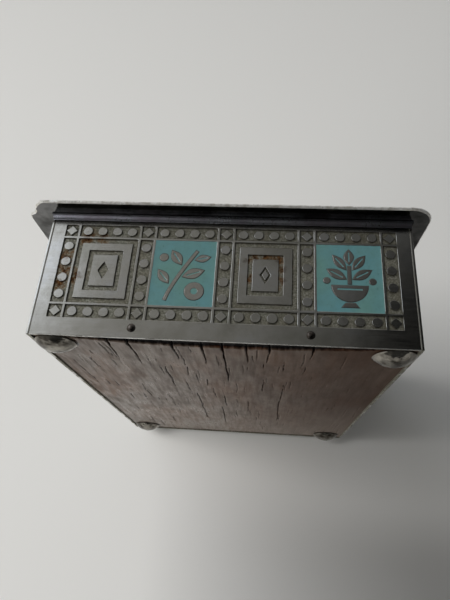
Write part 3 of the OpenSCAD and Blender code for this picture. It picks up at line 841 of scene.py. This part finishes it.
def bottom_board():
    """The board, with its cracks and the gap at its near end. Its crack attribute is their depth."""
    low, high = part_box("bottom_board")
    width, length, depth = ((high[a] - low[a]) / MM for a in range(3))
    face = Face((high.x, low.y, low.z), (-1, 0, 0), (0, 1, 0))
    xs = np.linspace(0, width, round(width / 0.21) + 1)
    # Fine rows beside the gap, and wider ones beyond
    ys = np.concatenate([np.arange(0, 4.0, 0.22) / length,
                         np.linspace(4.3 / length, 1, round(length / 0.95))])
    picker = random.Random(41)
    cracks = [(width - (x - PLATE), y, span, half, WIDE_DEPTH) for x, y, span, half in CRACKS]
    for _ in range(FINE_CRACKS):
        cracks.append((picker.uniform(1, width - 1), (length - 12) * picker.random() ** 1.4,
                       picker.uniform(3, 19), picker.uniform(THINNEST, 0.38), FINE_DEPTH))
    ends = [SHRINK_GAP * (1 - ((x - width / 2) / (width / 2)) ** 2)
            + 0.22 * abs(noise.noise(Vector((x / 0.7, 3.3, 0))))
            + 0.25 * abs(noise.noise(Vector((x / 3, 8.1, 0)))) for x in xs]
    tops = np.zeros((len(ys), len(xs), 3))
    tops[:, :, 0] = xs[None, :]
    tops[:, :, 1] = np.array(ends)[None, :] * (1 - ys[:, None]) + length * ys[:, None]
    for j in range(len(ys)):
        for i in range(len(xs)):
            x, y = tops[j, i, 0], tops[j, i, 1]
            tops[j, i, 2] = (0.07 * noise.noise(Vector((x / 2.2, y / 12, 1.7)))
                             + 0.02 * noise.noise(Vector((x / 0.7, y / 8, 5.2))) - 0.12)
    sunk = np.zeros((len(ys), len(xs)))
    for number, (x, y, span, half, deep) in enumerate(cracks):
        rows = np.where((tops[:, 0, 1] >= y - 2) & (tops[:, 0, 1] <= y + span))[0]
        for j in rows:
            v = tops[j, 0, 1]
            share = min(1, max(0, (v - y) / span))
            taper = min(1.0, 4 * (1 - share)) if y == 0 else max(0.0, math.sin(math.pi * share)) ** 0.5
            middle = (x + 0.55 * noise.noise(Vector((v / 8, number * 5.3, 0)))
                      + 0.2 * noise.noise(Vector((v / 1.7, number * 5.3, 9))))
            wide = 0.42 * half * taper * (0.35 + 1.6 * abs(noise.noise(Vector((v / 1.3, number * 2.1, 4)))))
            if y == 0:
                wide += 0.3 * math.exp(-max(0, v - 4.2) / 0.8)
            if wide < 0.05:
                continue
            cut = np.clip(1.25 * (1 - np.abs(xs - middle) / max(wide, THINNEST)), 0, 1)
            sunk[j] = np.maximum(sunk[j], cut * min(1.0, wide / THINNEST) * deep)
    # The end grain beside the gap, sunk and counted as crack depth so that the material paints it black:
    # painted shade in the gap
    for i, x in enumerate(xs):
        reach = (3.3 * max(0, 1 - ((x - width * 0.5) / (width * 0.49)) ** 2) ** 0.8
                 + 0.35 * noise.noise(Vector((x / 1.6, 2.2, 6)))
                 + 0.2 * noise.noise(Vector((x / 0.4, 7.2, 6))))
        sunk[:, i] = np.maximum(sunk[:, i], 0.95 * np.clip((reach - (tops[:, i, 1] - ends[i])) / 0.25, 0, 1))
    tops[:, :, 2] -= sunk
    mesh = height_block(xs, ys, tops, -depth)
    marks = mesh.attributes.new("crack", "FLOAT", "POINT")
    values = np.zeros(len(mesh.vertices), np.float32)
    values[: sunk.size] = sunk.ravel()
    marks.data.foreach_set("value", values)
    board = Piece("cracked_bottom", "box", "base_wood", "bottom_board")
    board.add(mesh, face.matrix, BASE_WOOD)
    board.done(60)


bottom_board()


# ---------- feet ----------

FOOT_STEPS, FOOT_TURNS, FOOT_ROOT = 16, 64, 0.35


def foot(name, seed):
    """A dented dome with a flat rest. Its root is sunk in the underside."""
    low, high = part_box(name)
    radius = (high.x - low.x) / 2 / MM
    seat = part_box("near_plate")[0].z
    drop = (seat - low.z) / MM
    crown = drop + 0.1
    round_r = (radius ** 2 + crown ** 2) / (2 * crown)
    profile = []
    for k in range(FOOT_STEPS + 1):
        r = radius * k / FOOT_STEPS
        profile.append((r, min(drop, crown - round_r + math.sqrt(round_r ** 2 - r ** 2))))
    root = radius - PLATE - 0.1
    profile += [(root, -0.01), (root, -FOOT_ROOT), (0, -FOOT_ROOT)]

    def wobble(p):
        if p.z < 0.02 or p.z > drop - 0.02:
            return p
        dent = (0.22 * noise.noise(Vector((p.x / 2.6, p.y / 2.6, seed)))
                + 0.10 * noise.noise(Vector((p.x / 1.1, p.y / 1.1, seed + 5))))
        return p + Vector((0, 0, -abs(dent)))

    middle = Vector(((low.x + high.x) / 2, (low.y + high.y) / 2, seat))
    face = Face(middle, (1, 0, 0), (0, -1, 0))
    dome = Piece(name + "_dome", "box", "foot_metal", name)
    dome.add(lathe(profile, FOOT_TURNS, wobble), face.matrix, FOOT)
    dome.done(80)


for seed, name in enumerate(("foot_near_hinge", "foot_near_front", "foot_far_hinge", "foot_far_front")):
    foot(name, 20 + seed * 7)


# ---------- CAD nodes that stay ----------

def dress(material, bevel, *names):
    """Gives CAD nodes their material, and edges rounded by bevel mm."""
    for name in names:
        node = nodes[name]
        node.data.materials.clear()
        node.data.materials.append(material)
        weld = node.modifiers.new("weld", "WELD")
        weld.merge_threshold = WELD * MM
        edge = node.modifiers.new("edge", "BEVEL")
        edge.width = bevel * MM
        edge.segments = 2
        edge.limit_method = "ANGLE"
        edge.angle_limit = math.radians(35)
        edge.harden_normals = True


dress(BOARD_WOOD, 0.25, "near_board", "far_board", "hinge_board", "front_board", "lid_board")
dress(BRASS, 0.08, "near_hinge_body_leaf", "near_hinge_lid_leaf", "far_hinge_body_leaf", "far_hinge_lid_leaf")
dress(PIN, 0.05, "near_hinge_pin", "far_hinge_pin", "body_leaf_screws", "lid_leaf_screws")


# ---------- stage, light and camera ----------

STAGE_HALF = 1.2


def one_sided(name, colour):
    """A matt surface that is seen from its front only."""
    s = Shader(name, Roughness=0.9)
    s.surface.inputs["Base Color"].default_value = (*colour, 1)
    clear = s.node("BsdfTransparent")
    mixed = s.node("MixShader", {0: s.node("NewGeometry").outputs["Backfacing"], 1: s.surface.outputs[0],
                                 2: clear.outputs[0]})
    s.tree.links.new(mixed.outputs[0], s.tree.nodes["Material Output"].inputs["Surface"])
    return s.material


def stage_plane(name, middle, normal, material):
    """A wide square plane that casts no shadow."""
    across = Vector(normal).orthogonal().normalized()
    up = Vector(normal).cross(across)
    points = [Vector(middle) + (across * a + up * b) * STAGE_HALF
              for a, b in ((-1, -1), (1, -1), (1, 1), (-1, 1))]
    mesh = mesh_of([tuple(p) for p in points], [(0, 1, 2, 3)])
    mesh.materials.append(material)
    made = bpy.data.objects.new(name, mesh)
    bpy.context.scene.collection.objects.link(made)
    made.visible_shadow = False
    made.visible_diffuse = False
    return made


PALE = one_sided("pale_floor", (0.78, 0.777, 0.762))
# The box in the photo stands on its far end; in the other views it stands on its feet
far_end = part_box("lid_plate")[1].y
stage_plane("floor_at_far_end", (0, far_end + 0.0002, 0), (0, -1, 0), PALE)
under = stage_plane("floor_under_feet", (0, 0, 0), (0, 0, 1), PALE)
under.visible_glossy = False


def shade_card(x0, z0, x1, z1, y):
    """The photographer's shade: a card in front of the box that only stops light."""
    mesh = mesh_of([(x0, y, z0), (x1, y, z0), (x1, y, z1), (x0, y, z1)], [(0, 1, 2, 3)])
    made = bpy.data.objects.new("shade_card", mesh)
    made.visible_camera = made.visible_diffuse = made.visible_glossy = False
    bpy.context.scene.collection.objects.link(made)


shade_card(-0.094, -0.300, 0.600, -0.010, y=-0.100)


# What surrounds the box, as far as its metal reflects it: (towards, colour and level, narrowness)
LIGHT_LOBES = [((-1.0, -0.35, 0.10), (0.45, 0.44, 0.41), 1.3),    # wall beside the window
               ((0.55, 0.80, 0.20), (0.70, 0.69, 0.66), 5.0),     # far side of the room
               ((0.0, 0.0, 1.0), (0.5, 0.5, 0.5), 5.0)]           # ceiling
ROOM_LEVEL = (0.048, 0.050, 0.050)
BACKDROP = (0.61, 0.61, 0.595, 1)
# Bright and dark things round the box: (towards, radius, softness, share of the room's light, own light)
DISCS = [((-0.60, -0.66, 0.43), 14.9, 3.0, 1.0, (0.89, 0.97, 1.08)),    # window
         ((-0.48, -0.87, 0.04), 6.5, 8.0, 1.0, (0.42, 0.42, 0.48)),     # dimmer light below it
         ((0.40, -0.86, 0.32), 13.3, 0.8, 0.3, (0, 0, 0)),              # dark furniture
         ((0.42, -0.88, 0.20), 15.3, 0.8, 0.05, (0, 0, 0)),             # and a darker part of it
         ((-0.05, -0.90, -0.42), 29.5, 1.5, 0.05, (0, 0, 0))]           # the photographer


def world_light():
    """A room with a window on one side: bright there, and dim elsewhere. The camera sees plain pale grey."""
    world = bpy.data.worlds.new("room")
    bpy.context.scene.world = world
    world.use_nodes = True
    tree = world.node_tree
    tree.nodes.clear()

    def node(kind, inputs=None, **settings):
        return add_node(tree, kind, inputs, **settings)

    direction = node("TexCoord").outputs["Generated"]

    def facing(aim):
        made = node("VectorMath", {0: direction, 1: Vector(aim).normalized()}, operation="DOT_PRODUCT")
        return made.outputs["Value"]

    def add(a, b):
        return node("VectorMath", {0: a, 1: b}, operation="ADD").outputs[0]

    total = None
    for aim, colour, power in LIGHT_LOBES:
        above = node("Math", {0: facing(aim), 1: 0.0}, operation="MAXIMUM")
        lobe = node("Math", {0: above.outputs[0], 1: power}, operation="POWER")
        scaled = node("VectorMath", {0: colour, "Scale": lobe.outputs[0]}, operation="SCALE").outputs[0]
        total = scaled if total is None else add(total, scaled)
    total = add(total, ROOM_LEVEL)
    for aim, radius, soft, scale, glow in DISCS:
        inner, outer = (math.cos(math.radians(radius + d)) for d in (-soft, soft))
        inside = node("MapRange", {"Value": facing(aim), "From Min": outer, "From Max": inner},
                      interpolation_type="SMOOTHSTEP").outputs[0]
        veil = node("MapRange", {"Value": inside, "To Min": 1.0, "To Max": scale}).outputs[0]
        total = node("VectorMath", {0: total, "Scale": veil}, operation="SCALE").outputs[0]
        total = add(total, node("VectorMath", {0: glow, "Scale": inside}, operation="SCALE").outputs[0])
    room = node("Background", {"Color": total})
    seen = node("Background", {"Color": BACKDROP})
    mixed = node("MixShader", {0: node("LightPath").outputs["Is Camera Ray"], 1: room.outputs[0],
                               2: seen.outputs[0]})
    tree.links.new(mixed.outputs[0], node("OutputWorld").inputs["Surface"])


def lamp(kind, name, direction, strength, angle, colour, distance=0.0):
    """Soft light from the direction, as wide as angle degrees. Metal mirrors the world and not the lamps."""
    light = bpy.data.lights.new(name, kind)
    light.energy = strength
    light.color = colour
    if kind == "SUN":
        light.angle = math.radians(angle)
    else:
        light.size = 2 * distance * math.tan(math.radians(angle / 2))
    made = bpy.data.objects.new(name, light)
    made.location = Vector(direction).normalized() * distance
    made.rotation_euler = Vector(direction).to_track_quat("Z", "Y").to_euler()
    made.visible_glossy = False
    made.visible_camera = False
    bpy.context.scene.collection.objects.link(made)


world_light()
lamp("AREA", "window", (-0.55, -0.83, -0.06), 10.35, 26, (1.0, 0.99, 0.97), 1.2)
lamp("SUN", "bounce", (-0.74, -0.01, -0.67), 1.9, 30, (1.0, 0.97, 0.94))
lamp("SUN", "room", (0.55, 0.45, 0.70), 0.8, 70, (1.0, 0.99, 0.98))


SENSOR, LENS = 36, 29.67
CAMERA_PLACE, CAMERA_AIM = (12.12, -182.25, -38.74), (0.46, -46.0, 22.9)     # mm
CAMERA_ROLL = 4.08


def camera():
    """The photo's camera: below and in front of the near wall, close, and tilted a little to one side."""
    view = bpy.data.cameras.new("camera")
    view.sensor_width = SENSOR
    view.lens = LENS
    view.clip_start = 0.01
    made = bpy.data.objects.new("camera", view)
    place, aim = Vector(CAMERA_PLACE) * MM, Vector(CAMERA_AIM) * MM
    look = (place - aim).to_track_quat("Z", "Y").to_matrix().to_4x4()
    roll = Matrix.Rotation(math.radians(CAMERA_ROLL), 4, "Z")
    made.matrix_world = Matrix.Translation(place) @ look @ roll
    bpy.context.scene.collection.objects.link(made)
    bpy.context.scene.camera = made


camera()
bpy.context.scene.view_settings.view_transform = "Standard"
bpy.context.view_layer.update()
